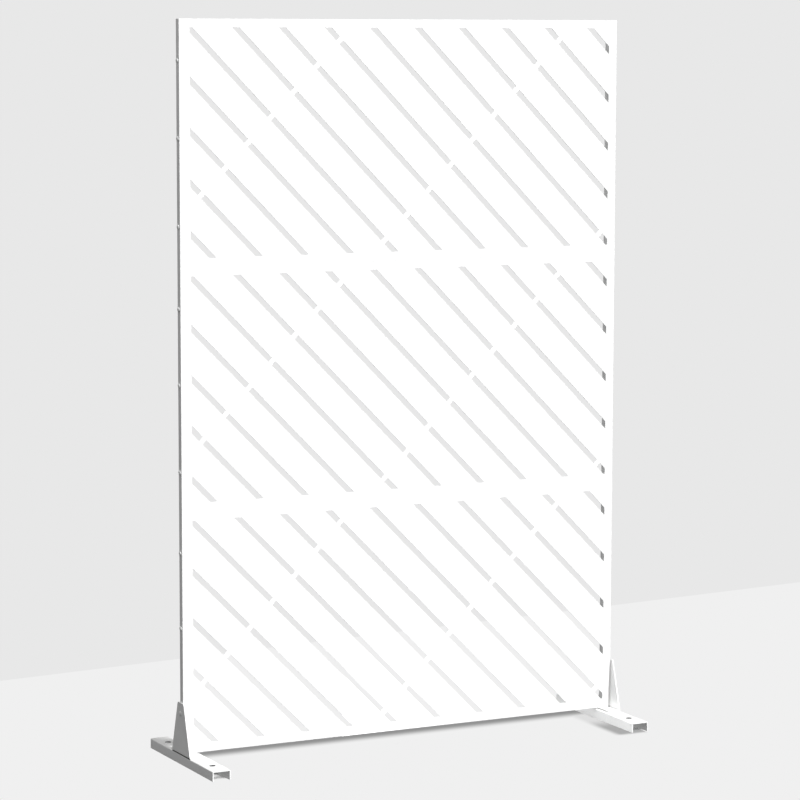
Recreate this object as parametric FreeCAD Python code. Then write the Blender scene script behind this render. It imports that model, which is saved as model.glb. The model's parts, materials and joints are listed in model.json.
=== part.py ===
import FreeCAD, Part
import math
import os

# Free-standing partition screen: three slotted sheet-metal trays stacked on each other,
# bolted at both sides to two hollow posts, and carried by two inverted-channel feet.
# Millimetres. +X right, +Y to the rear, +Z up. The origin is on the floor, midway between
# the feet and midway through the depth of the trays.

# ---- Trays -------------------------------------------------------------------------------
screen_width = 1220.0
panel_height = 600.0
panel_depth = 18.0
panel_sheet = 1.5
panel_bend_radius = 0.8
panel_levels = ("bottom", "middle", "top")

# ---- Slot pattern, measured across from a tray's left edge and down from its top edge ----
slot_width = 13.7
slot_pitch = 124.0
slot_start_down = -4.6
slot_end_least = 18.0
margin_left = 28.0
margin_right = 23.0
margin_top = 20.5
margin_bottom = 23.0
bridge_width = 13.5
bridge_slots_apart = 5
bridge_start_across = 480.0

# ---- Posts nested inside the side flanges ------------------------------------------------
post_width = 22.0
post_wall = 1.5
post_corner_radius = 1.5
post_face_gap = 0.5
post_notch_gap = 0.5
cap_plate = 2.0
cap_plug_length = 10.0
cap_plug_gap = 0.2
cap_wall = 1.5

# ---- Feet --------------------------------------------------------------------------------
foot_sheet = 3.0
foot_bend_radius = 3.0
foot_length = 395.0
foot_width = 48.0
foot_height = 25.0
anchor_hole_diameter = 16.0
anchor_hole_spacing = 280.0
bracket_base = 114.0
bracket_top = 37.0
bracket_above_bolt = 27.0
bracket_top_radius = 5.0
bracket_leg_corner = 3.0
bracket_leg_past_post = 9.5

# ---- Fasteners ---------------------------------------------------------------------------
bolt_diameter = 6.0
bolt_hole_gap = 0.3
thread_gap = 0.05
thread_end = 2.0
thread_chamfer = 0.7
button_head_diameter = 12.0
button_head_height = 3.3
button_head_rim = 0.8
socket_across_flats = 4.0
socket_depth = 2.0
hex_across_flats = 10.0
hex_head_height = 4.0
nut_height = 5.0
hex_chamfer = 0.6
washer_diameter = 12.0
washer_thickness = 1.6
side_bolt_from_edge = 100.0
side_bolt_middle = 313.0
seam_bolt_places = (-400.0, 0.0, 400.0)

# ---- Places that follow from the sizes above ---------------------------------------------
half_width = screen_width / 2
panel_front = -panel_depth / 2
panel_rear = panel_depth / 2
face_rear = panel_front + panel_sheet
flange_inside = half_width - panel_sheet
post_inside = flange_inside - post_width
post_front = face_rear + post_face_gap
post_depth = panel_rear - post_front
bolt_depth_place = post_front + post_depth / 2
foot_outside = half_width + foot_sheet
foot_inside = foot_outside - foot_width
screen_bottom = foot_height + foot_sheet
screen_top = screen_bottom + panel_height * len(panel_levels)
side_bolt_heights = (side_bolt_from_edge, side_bolt_middle, panel_height - side_bolt_from_edge)
post_foot = screen_bottom + panel_sheet
clamp_bolt_across = flange_inside - post_width / 2
bracket_leg = foot_outside - post_inside + bracket_leg_past_post
bracket_height = foot_sheet + side_bolt_from_edge + bracket_above_bolt
bolt_hole_radius = bolt_diameter / 2 + bolt_hole_gap
nut_outside = flange_inside - post_wall
side_bolt_length = half_width - nut_outside + nut_height + thread_end
foot_side_bolt_length = side_bolt_length + foot_sheet

along_x = FreeCAD.Vector(1, 0, 0)
along_y = FreeCAD.Vector(0, 1, 0)
along_z = FreeCAD.Vector(0, 0, 1)


# ---- Shapes used by several sub-parts ----------------------------------------------------

def block(low, high):
    """Box between two opposite corners, each given as (x, y, z)."""
    size = [high[i] - low[i] for i in range(3)]
    return Part.makeBox(size[0], size[1], size[2], FreeCAD.Vector(*low))


def prism(corners, sweep):
    """Solid swept from the flat polygon through the given corners."""
    outline = [FreeCAD.Vector(*corner) for corner in corners]
    face = Part.Face(Part.makePolygon(outline + outline[:1]))
    return face.extrude(sweep)


def edges_between(shape, test):
    """Edges of a shape whose ends all pass the test."""
    return [edge for edge in shape.Edges if all(test(vertex.Point) for vertex in edge.Vertexes)]


def edges_along(edges, direction):
    """Those of the given edges that run along a row axis."""
    chosen = []
    for edge in edges:
        run = edge.Vertexes[-1].Point - edge.Vertexes[0].Point
        if run.Length > 0 and abs(abs(run.dot(direction)) - run.Length) < 1e-6:
            chosen.append(edge)
    return chosen


def hole(radius, start, direction, length):
    """Cylinder that cuts a round hole, from its start point along a direction."""
    return Part.makeCylinder(radius, length, FreeCAD.Vector(*start), direction)


def placed(shape, direction, point):
    """Copy of a shape built along +Z from the origin, turned to a direction and moved."""
    copy = shape.copy()
    turn = FreeCAD.Rotation(along_z, direction)
    copy.Placement = FreeCAD.Placement(FreeCAD.Vector(*point), turn)
    return copy


def mirrored(shape):
    """Left-hand copy of a right-hand shape."""
    return shape.mirror(FreeCAD.Vector(0, 0, 0), along_x)


def save(name, solids):
    """Write one sub-part, as one solid or as a group of separate solids."""
    shape = solids[0] if len(solids) == 1 else Part.makeCompound(solids)
    shape.exportStep("parts/" + name + ".step")


# ---- Fasteners, each built along +Z with the underside of its head at the origin ---------

def hexagon(across_flats, height):
    """Hexagonal bar standing on the origin."""
    corner = across_flats / math.sqrt(3)
    turns = [math.radians(60 * i) for i in range(6)]
    return prism([(corner * math.cos(a), corner * math.sin(a), 0) for a in turns], along_z * height)


def chamfered_hexagon(across_flats, height):
    """Hexagonal bar with the corners of both its faces turned off at 45 degrees."""
    corner = across_flats / math.sqrt(3)
    profile = [
        (0, 0, 0),
        (corner - hex_chamfer, 0, 0),
        (corner, 0, hex_chamfer),
        (corner, 0, height - hex_chamfer),
        (corner - hex_chamfer, 0, height),
        (0, 0, height),
    ]
    outline = [FreeCAD.Vector(*point) for point in profile]
    face = Part.Face(Part.makePolygon(outline + outline[:1]))
    turned = face.revolve(FreeCAD.Vector(0, 0, 0), along_z, 360)
    return hexagon(across_flats, height).common(turned)


def shank(length):
    """Plain bolt shank that hangs below the origin, with a chamfered end."""
    rod = Part.makeCylinder(bolt_diameter / 2, length, FreeCAD.Vector(0, 0, -length))
    end = [edge for edge in rod.Edges if abs(edge.BoundBox.ZMax + length) < 1e-6]
    return rod.makeChamfer(thread_chamfer, end)


def button_bolt(length):
    """Domed button-head bolt with a hexagon socket."""
    radius = button_head_diameter / 2
    rise = button_head_height - button_head_rim
    sphere = (radius ** 2 + rise ** 2) / (2 * rise)
    half_angle = math.asin(radius / sphere) / 2
    crown = sphere * (1 - math.cos(half_angle))
    centre_top = FreeCAD.Vector(0, 0, button_head_height)
    rim_top = FreeCAD.Vector(radius, 0, button_head_rim)
    crown_middle = FreeCAD.Vector(sphere * math.sin(half_angle), 0, button_head_height - crown)
    rim_foot = FreeCAD.Vector(radius, 0, 0)
    centre_foot = FreeCAD.Vector(0, 0, 0)
    outline = Part.Wire([
        Part.LineSegment(centre_foot, rim_foot).toShape(),
        Part.LineSegment(rim_foot, rim_top).toShape(),
        Part.Arc(rim_top, crown_middle, centre_top).toShape(),
        Part.LineSegment(centre_top, centre_foot).toShape(),
    ])
    head = Part.Face(outline).revolve(FreeCAD.Vector(0, 0, 0), along_z, 360)
    socket = hexagon(socket_across_flats, socket_depth)
    socket.translate(along_z * (button_head_height - socket_depth))
    return head.cut(socket).fuse(shank(length)).removeSplitter().Solids[0]


def hex_bolt(length):
    """Hexagon-head bolt."""
    head = chamfered_hexagon(hex_across_flats, hex_head_height)
    return head.fuse(shank(length)).removeSplitter().Solids[0]


def nut():
    """Hexagon nut standing on the origin."""
    bore = Part.makeCylinder(bolt_diameter / 2 + thread_gap, nut_height)
    return chamfered_hexagon(hex_across_flats, nut_height).cut(bore).Solids[0]


def washer():
    """Plain washer standing on the origin."""
    disc = Part.makeCylinder(washer_diameter / 2, washer_thickness)
    return disc.cut(Part.makeCylinder(bolt_hole_radius, washer_thickness))


# ---- Trays -------------------------------------------------------------------------------

def tray_bottom(level):
    """Height of a tray's lower edge above the floor."""
    return screen_bottom + panel_height * panel_levels.index(level)


def slot_centre_runs():
    """Each slot's centre line, as (number, first across, last across), inside the margins."""
    last_across = screen_width - margin_right
    last_down = panel_height - margin_bottom
    lowest = math.floor((margin_top - last_across - slot_start_down) / slot_pitch)
    highest = math.ceil((last_down - margin_left - slot_start_down) / slot_pitch)
    runs = []
    for number in range(lowest, highest + 1):
        drop = slot_start_down + slot_pitch * number
        first = max(margin_left, margin_top - drop)
        last = min(last_across, last_down - drop)
        if last - first >= slot_end_least:
            runs.append((number, first, last))
    return runs


def bridge_places(number, first, last):
    """Where sheet is left standing across one slot, as distances across the tray."""
    drop = slot_start_down + slot_pitch * number
    apart = slot_pitch * bridge_slots_apart
    places = []
    for row in range(math.ceil(2 * (screen_width + panel_height) / apart)):
        across = (bridge_start_across + apart * row - drop) / 2
        if first + slot_end_least <= across <= last - slot_end_least:
            places.append((across, across + drop))
    return places


def slot_cutters(top):
    """Solids that cut every slot of a tray whose upper edge is at the given height."""
    def on_face(across, down):
        return (across - half_width, panel_front - panel_sheet, top - down)

    sweep = along_y * (3 * panel_sheet)
    last_across = screen_width - margin_right
    last_down = panel_height - margin_bottom
    field = prism([
        on_face(margin_left, margin_top),
        on_face(last_across, margin_top),
        on_face(last_across, last_down),
        on_face(margin_left, last_down),
    ], sweep)
    aside = slot_width / math.sqrt(8)
    bridge_half = bridge_width / math.sqrt(8)
    reach = slot_width
    cutters = []
    for number, first, last in slot_centre_runs():
        drop = slot_start_down + slot_pitch * number
        start = (first - reach, first - reach + drop)
        end = (last + reach, last + reach + drop)
        band = prism([
            on_face(start[0] + aside, start[1] - aside),
            on_face(end[0] + aside, end[1] - aside),
            on_face(end[0] - aside, end[1] + aside),
            on_face(start[0] - aside, start[1] + aside),
        ], sweep)
        slot = band.common(field)
        for across, down in bridge_places(number, first, last):
            bridge = prism([
                on_face(across + reach - bridge_half, down - reach - bridge_half),
                on_face(across + reach + bridge_half, down - reach + bridge_half),
                on_face(across - reach + bridge_half, down + reach + bridge_half),
                on_face(across - reach - bridge_half, down + reach - bridge_half),
            ], sweep)
            slot = slot.cut(bridge)
        cutters.extend(slot.Solids)
    return cutters


def tray(level):
    """One folded tray: slotted face, two side flanges, and upper and lower flanges."""
    bottom = tray_bottom(level)
    top = bottom + panel_height
    body = block((-half_width, panel_front, bottom), (half_width, panel_rear, top))
    front = edges_between(body, lambda point: abs(point.y - panel_front) < 1e-6)
    body = body.makeFillet(panel_bend_radius, front)
    cutters = [block(
        (-flange_inside, face_rear, bottom + panel_sheet),
        (flange_inside, panel_rear + panel_sheet, top - panel_sheet),
    )]
    lowest = level == panel_levels[0]
    for side in (-1, 1):
        notch = sorted((side * (post_inside - post_notch_gap), side * flange_inside))
        cutters.append(block(
            (notch[0], face_rear, post_foot if lowest else bottom - panel_sheet),
            (notch[1], panel_rear + panel_sheet, top + panel_sheet),
        ))
        for height in side_bolt_heights:
            start = (side * (flange_inside - panel_sheet), bolt_depth_place, bottom + height)
            cutters.append(hole(bolt_hole_radius, start, along_x * side, 3 * panel_sheet))
    seams = []
    if not lowest:
        seams.append(bottom)
    if level != panel_levels[-1]:
        seams.append(top)
    drills = [(place, seam) for seam in seams for place in seam_bolt_places]
    if lowest:
        drills += [(side * clamp_bolt_across, bottom) for side in (-1, 1)]
    for place, height in drills:
        start = (place, bolt_depth_place, height - 2 * panel_sheet)
        cutters.append(hole(bolt_hole_radius, start, along_z, 4 * panel_sheet))
    body = body.cut(Part.makeCompound(cutters))
    body = body.cut(Part.makeCompound(slot_cutters(top)))
    return body.Solids[0]


# ---- Posts -------------------------------------------------------------------------------

def side_bolt_levels():
    """Every side bolt's tray and height above the floor, from the floor up."""
    return [(level, tray_bottom(level) + height) for level in panel_levels for height in side_bolt_heights]


def post():
    """Right-hand post: a rectangular tube that ties the three trays to the foot."""
    top = screen_top - cap_plate
    outer = block((post_inside, post_front, post_foot), (flange_inside, panel_rear, top))
    outer = outer.makeFillet(post_corner_radius, edges_along(outer.Edges, along_z))
    inner = block(
        (post_inside + post_wall, post_front + post_wall, post_foot),
        (flange_inside - post_wall, panel_rear - post_wall, top),
    )
    body = outer.cut(inner)
    drills = []
    for level, height in side_bolt_levels():
        start = (nut_outside - post_wall, bolt_depth_place, height)
        drills.append(hole(bolt_hole_radius, start, along_x, 3 * post_wall))
    return body.cut(Part.makeCompound(drills)).Solids[0]


def post_cap():
    """Right-hand plastic cap: a plate over the post's end and a hollow plug inside it."""
    plate_bottom = screen_top - cap_plate
    plate = block((post_inside, post_front, plate_bottom), (flange_inside, panel_rear, screen_top))
    plate = plate.makeFillet(post_corner_radius, edges_along(plate.Edges, along_z))
    inset = post_wall + cap_plug_gap
    plug_bottom = plate_bottom - cap_plug_length
    plug = block(
        (post_inside + inset, post_front + inset, plug_bottom),
        (flange_inside - inset, panel_rear - inset, plate_bottom),
    )
    hollow_inset = inset + cap_wall
    hollow = block(
        (post_inside + hollow_inset, post_front + hollow_inset, plug_bottom),
        (flange_inside - hollow_inset, panel_rear - hollow_inset, plate_bottom),
    )
    return plate.fuse(plug).removeSplitter().cut(hollow).Solids[0]


# ---- Feet --------------------------------------------------------------------------------

def foot_channel():
    """Right-hand foot: an inverted channel, open below and at both ends."""
    half_length = foot_length / 2
    outer = block((foot_inside, -half_length, 0), (foot_outside, half_length, foot_height))
    upper = edges_along(edges_between(outer, lambda point: point.z > 0), along_y)
    outer = outer.makeFillet(foot_bend_radius, upper)
    inner = block(
        (foot_inside + foot_sheet, -half_length, -foot_sheet),
        (foot_outside - foot_sheet, half_length, foot_height - foot_sheet),
    )
    middle = foot_outside - foot_width / 2
    below = foot_height - 2 * foot_sheet
    drills = [hole(bolt_hole_radius, (clamp_bolt_across, bolt_depth_place, below), along_z, 3 * foot_sheet)]
    for end in (-1, 1):
        start = (middle, end * anchor_hole_spacing / 2, below)
        drills.append(hole(anchor_hole_diameter / 2, start, along_z, 3 * foot_sheet))
    return outer.cut(Part.makeCompound([inner] + drills)).Solids[0]


def foot_bracket():
    """Right-hand bracket: a tapered upright plate with a leg folded in under the screen."""
    base = bracket_base / 2
    top = bracket_top / 2
    upright = prism([
        (half_width, -base, foot_height),
        (half_width, base, foot_height),
        (half_width, top, foot_height + bracket_height),
        (half_width, -top, foot_height + bracket_height),
    ], along_x * foot_sheet)
    upper = edges_between(upright, lambda point: point.z > foot_height + foot_sheet)
    upright = upright.makeFillet(bracket_top_radius, edges_along(upper, along_x))
    leg = block((foot_outside - bracket_leg, -base, foot_height), (foot_outside, base, screen_bottom))
    corners = edges_along(leg.Edges, along_z)
    inner_corners = [edge for edge in corners if edge.Vertexes[0].Point.x < half_width]
    leg = leg.makeFillet(bracket_leg_corner, inner_corners)
    body = upright.fuse(leg).removeSplitter()
    def on_bend(point):
        return abs(point.z - foot_height) < 1e-6 and abs(point.x - foot_outside) < 1e-6

    bend = edges_along(edges_between(body, on_bend), along_y)
    body = body.makeFillet(foot_bend_radius, bend)
    side_hole = (half_width - foot_sheet, bolt_depth_place, screen_bottom + side_bolt_heights[0])
    clamp_hole = (clamp_bolt_across, bolt_depth_place, foot_height - foot_sheet)
    drills = [
        hole(bolt_hole_radius, side_hole, along_x, 3 * foot_sheet),
        hole(bolt_hole_radius, clamp_hole, along_z, 3 * foot_sheet),
    ]
    return body.cut(Part.makeCompound(drills)).Solids[0]


# ---- Fasteners in place, for the right-hand side -----------------------------------------

def side_bolts(level):
    """Button-head bolts that pull one tray onto the right post."""
    lowest_through_foot = level == panel_levels[0]
    heights = side_bolt_heights[1:] if lowest_through_foot else side_bolt_heights
    bolt = button_bolt(side_bolt_length)
    return [
        placed(bolt, along_x, (half_width, bolt_depth_place, tray_bottom(level) + height))
        for height in heights
    ]


def foot_side_bolt():
    """The lowest bolt of the right side, which also holds the foot's upright plate."""
    height = screen_bottom + side_bolt_heights[0]
    return [placed(button_bolt(foot_side_bolt_length), along_x, (foot_outside, bolt_depth_place, height))]


def post_nuts(level):
    """Nuts welded inside the right post behind one tray's bolts."""
    weld_nut = nut()
    return [
        placed(weld_nut, along_x * -1, (nut_outside, bolt_depth_place, height))
        for nut_level, height in side_bolt_levels()
        if nut_level == level
    ]


def clamp_fasteners():
    """Bolt, washer and weld nut that hold the right foot to the lowest tray's lower flange."""
    washer_bottom = foot_height - foot_sheet - washer_thickness
    nut_bottom = screen_bottom + panel_sheet
    length = nut_bottom + nut_height + thread_end - washer_bottom
    axis = (clamp_bolt_across, bolt_depth_place)
    return {
        "foot_clamp_bolt": placed(hex_bolt(length), along_z * -1, axis + (washer_bottom,)),
        "foot_clamp_washer": placed(washer(), along_z, axis + (washer_bottom,)),
        "foot_clamp_nut": placed(nut(), along_z, axis + (nut_bottom,)),
    }


def seam_fasteners(level):
    """Bolts and nuts that close the seam along the upper edge of a tray."""
    seam = tray_bottom(level) + panel_height
    grip = 2 * panel_sheet
    bolt = hex_bolt(grip + nut_height + thread_end)
    seam_nut = nut()
    bolts = [
        placed(bolt, along_z * -1, (place, bolt_depth_place, seam - panel_sheet))
        for place in seam_bolt_places
    ]
    nuts = [
        placed(seam_nut, along_z, (place, bolt_depth_place, seam + panel_sheet))
        for place in seam_bolt_places
    ]
    return bolts, nuts


# ---- The whole screen --------------------------------------------------------------------

def save_pair(name, solids, ending=""):
    """Write a right-hand sub-part and its mirrored left-hand twin."""
    save(name + "_right" + ending, solids)
    save(name + "_left" + ending, [mirrored(solid) for solid in solids])


os.makedirs("parts", exist_ok=True)

for tray_level in panel_levels:
    save("panel_" + tray_level, [tray(tray_level)])
    save_pair("side_bolts", side_bolts(tray_level), "_" + tray_level)
    save_pair("post_nuts", post_nuts(tray_level), "_" + tray_level)

for seam_name, tray_level in zip(("lower", "upper"), panel_levels):
    seam_bolts, seam_nuts = seam_fasteners(tray_level)
    save("seam_bolts_" + seam_name, seam_bolts)
    save("seam_nuts_" + seam_name, seam_nuts)

save_pair("post", [post()])
save_pair("post_cap", [post_cap()])
save_pair("foot_channel", [foot_channel()])
save_pair("foot_bracket", [foot_bracket()])
save_pair("foot_side_bolt", foot_side_bolt())
for fastener_name, fastener in clamp_fasteners().items():
    save_pair(fastener_name, [fastener])
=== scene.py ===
"""Free-standing slotted screen of three bent-steel trays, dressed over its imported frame.

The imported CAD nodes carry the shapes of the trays, posts, caps and feet. This script breaks
their cut edges, gives each surface its finish, and puts turned, threaded fasteners in the
places of the plain ones. Every length is in metres, in the frame that the CAD uses.
"""

import json
import logging
import math
from collections.abc import Callable, Iterable
from dataclasses import dataclass
from enum import Enum

import bmesh
import bpy
from bmesh.types import BMesh, BMVert
from bpy.types import ID, Material, Node, NodeOutputs, NodeTree, Object
from bpy.types import NodeSocket as Socket
from mathutils import Matrix, Vector


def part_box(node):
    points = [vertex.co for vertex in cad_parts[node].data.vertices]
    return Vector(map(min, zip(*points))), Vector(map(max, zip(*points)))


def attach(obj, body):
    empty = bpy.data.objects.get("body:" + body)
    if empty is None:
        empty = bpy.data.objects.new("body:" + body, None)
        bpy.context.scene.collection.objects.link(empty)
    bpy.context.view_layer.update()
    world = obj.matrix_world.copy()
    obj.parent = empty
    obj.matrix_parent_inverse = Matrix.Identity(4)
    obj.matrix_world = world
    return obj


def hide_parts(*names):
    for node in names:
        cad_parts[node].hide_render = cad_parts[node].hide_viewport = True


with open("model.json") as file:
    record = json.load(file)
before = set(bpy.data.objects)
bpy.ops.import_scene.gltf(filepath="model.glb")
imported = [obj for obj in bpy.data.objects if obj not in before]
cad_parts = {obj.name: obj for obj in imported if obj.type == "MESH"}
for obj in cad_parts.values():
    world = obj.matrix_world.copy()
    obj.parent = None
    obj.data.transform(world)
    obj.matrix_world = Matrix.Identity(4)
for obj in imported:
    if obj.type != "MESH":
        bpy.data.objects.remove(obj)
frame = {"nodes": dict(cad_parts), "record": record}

LOG = logging.getLogger("screen")
BODY = "root"

Colour = tuple[float, float, float]
Point = tuple[float, float, float]
Span = tuple[float, float]
Ring = list[BMVert]
Law = Callable[[float], float]

DUST_TINT: Colour = (0.62, 0.6, 0.56)
DUST_REACH = 0.12
NUT_ROUNDING = 0.00015
SAME_PLACE = 1e-6
CUT_ANGLE, SHARP_ANGLE = math.radians(35), math.radians(38)
FACE_WEIGHT = 90
FIRST_SPIN, NEXT_SPIN = 0.35, 1.3
HALF_SIDE = math.pi / 6
DOWN = Vector((0, 0, -1))


class Side(Enum):
    """The two ends of the screen, with the sign of X on which each stands."""

    LEFT = -1
    RIGHT = 1

    @property
    def word(self) -> str:
        """The side's name as node names spell it."""
        return self.name.lower()


class Level(Enum):
    """The three trays, from the floor up."""

    BOTTOM = "bottom"
    MIDDLE = "middle"
    TOP = "top"


class Slot(Enum):
    """Material slots that the record names."""

    POWDER = "white_powder_coat"
    BOLT = "white_bolt_coat"
    PLASTIC = "white_plastic"
    ZINC = "zinc_plated_steel"


class Effect(Enum):
    """Surface effects that several finishes share, each one a shader node group."""

    PEEL = "orange_peel"
    CLOUD = "clouding"
    RUB = "edge_rub"
    DUST = "settled_dust"
    MARKS = "handling_marks"


# ---- Shader nodes ----

class NodeBench:
    """Lays nodes in one tree and joins them.

    Args:
        tree: The node tree to work in.
    """

    def __init__(self, tree: NodeTree) -> None:
        """Keeps the tree and the column that the next node goes to."""
        self.tree = tree
        self.column = 0

    def add(self, kind: str, **settings: object) -> Node:
        """Adds one node.

        Args:
            kind: The node's type, without its ShaderNode prefix.
            settings: Properties of the node, by name.

        Returns:
            The new node.
        """
        node = self.tree.nodes.new("ShaderNode" + kind)
        node.location = (self.column * 190, 0)
        self.column += 1
        for name, value in settings.items():
            setattr(node, name, value)
        return node

    def join(self, source: Socket, target: Socket) -> None:
        """Links an output to an input."""
        self.tree.links.new(source, target)

    def feed(self, target: Socket, value: object) -> None:
        """Links a socket, or sets a plain value, on an input.

        Args:
            target: The input socket.
            value: An output socket, or a number, colour or vector.
        """
        if isinstance(value, Socket):
            self.join(value, target)
        elif target.type == "RGBA":
            target.default_value = (*value, 1.0)
        else:
            target.default_value = value

    def maths(self, operation: str, first: object, second: object = 0.0, clamp: bool = False
              ) -> Socket:
        """Adds a Math node.

        Args:
            operation: The node's operation.
            first: Its first value or socket.
            second: Its second value or socket.
            clamp: Whether the result is held between 0 and 1.

        Returns:
            The result's socket.
        """
        node = self.add("Math", operation=operation, use_clamp=clamp)
        self.feed(node.inputs[0], first)
        self.feed(node.inputs[1], second)
        return node.outputs[0]

    def times(self, first: object, *others: object) -> Socket:
        """Multiplies several values.

        Args:
            first: The first value or socket.
            others: The rest.

        Returns:
            The product's socket.
        """
        for other in others:
            first = self.maths("MULTIPLY", first, other)
        return first

    def off(self, value: object, centre: float) -> Socket:
        """Gives how far a value lies from a centre, either way."""
        return self.maths("ABSOLUTE", self.maths("SUBTRACT", value, centre))

    def ramp(self, value: object, low: object, high: object, to_low: object = 0.0,
             to_high: object = 1.0) -> Socket:
        """Adds a smooth Map Range node.

        Args:
            value: The value to map.
            low: The value that becomes to_low.
            high: The value that becomes to_high.
            to_low: The result at low.
            to_high: The result at high.

        Returns:
            The result's socket.
        """
        node = self.add("MapRange", interpolation_type="SMOOTHSTEP")
        for name, fed in (("Value", value), ("From Min", low), ("From Max", high),
                          ("To Min", to_low), ("To Max", to_high)):
            self.feed(node.inputs[name], fed)
        return node.outputs["Result"]

    def noise(self, place: Socket, scale: object, detail: float = 2.0,
              rough: float = 0.5) -> Socket:
        """Adds a noise texture.

        Args:
            place: The coordinates it reads.
            scale: Its scale, per metre.
            detail: How many octaves it has.
            rough: How strong the finer octaves are.

        Returns:
            The noise's value, around 0.5.
        """
        node = self.add("TexNoise", noise_dimensions="3D")
        self.join(place, node.inputs["Vector"])
        self.feed(node.inputs["Scale"], scale)
        node.inputs["Detail"].default_value = detail
        node.inputs["Roughness"].default_value = rough
        return node.outputs["Fac"]

    def blend(self, share: object, first: object, second: object) -> Socket:
        """Adds a colour Mix node.

        Args:
            share: How much of the second colour shows.
            first: The first colour.
            second: The second colour.

        Returns:
            The mixed colour's socket.
        """
        node = self.add("Mix", data_type="RGBA")
        self.feed(node.inputs["Factor"], share)
        self.feed(node.inputs[6], first)
        self.feed(node.inputs[7], second)
        return node.outputs[2]

    def split(self, source: Socket) -> NodeOutputs:
        """Splits a vector.

        Args:
            source: The vector's socket.

        Returns:
            The outputs named X, Y and Z.
        """
        node = self.add("SeparateXYZ")
        self.join(source, node.inputs[0])
        return node.outputs

    def glow(self, colour: object) -> Node:
        """Adds an Emission shader.

        Args:
            colour: Its colour or socket.

        Returns:
            The shader.
        """
        node = self.add("Emission")
        self.feed(node.inputs["Color"], colour)
        return node

    def end(self, kind: str, choice: Socket, first: Node, second: Node
            ) -> None:
        """Ends the tree with a choice between two shaders.

        Args:
            kind: The output node's type.
            choice: A socket that is 1 where the second shader shows.
            first: The first shader.
            second: The second shader.
        """
        mix = self.add("MixShader")
        for target, source in zip(mix.inputs, (choice, first.outputs[0], second.outputs[0])):
            self.join(source, target)
        self.join(mix.outputs[0], self.add(kind).inputs["Surface"])


def blank_material(name: str) -> tuple[Material, NodeBench]:
    """Makes a material without nodes.

    Args:
        name: The material's name.

    Returns:
        The material and its bench.
    """
    material = bpy.data.materials.new(name)
    material.use_nodes = True
    material.node_tree.nodes.clear()
    return material, NodeBench(material.node_tree)


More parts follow.
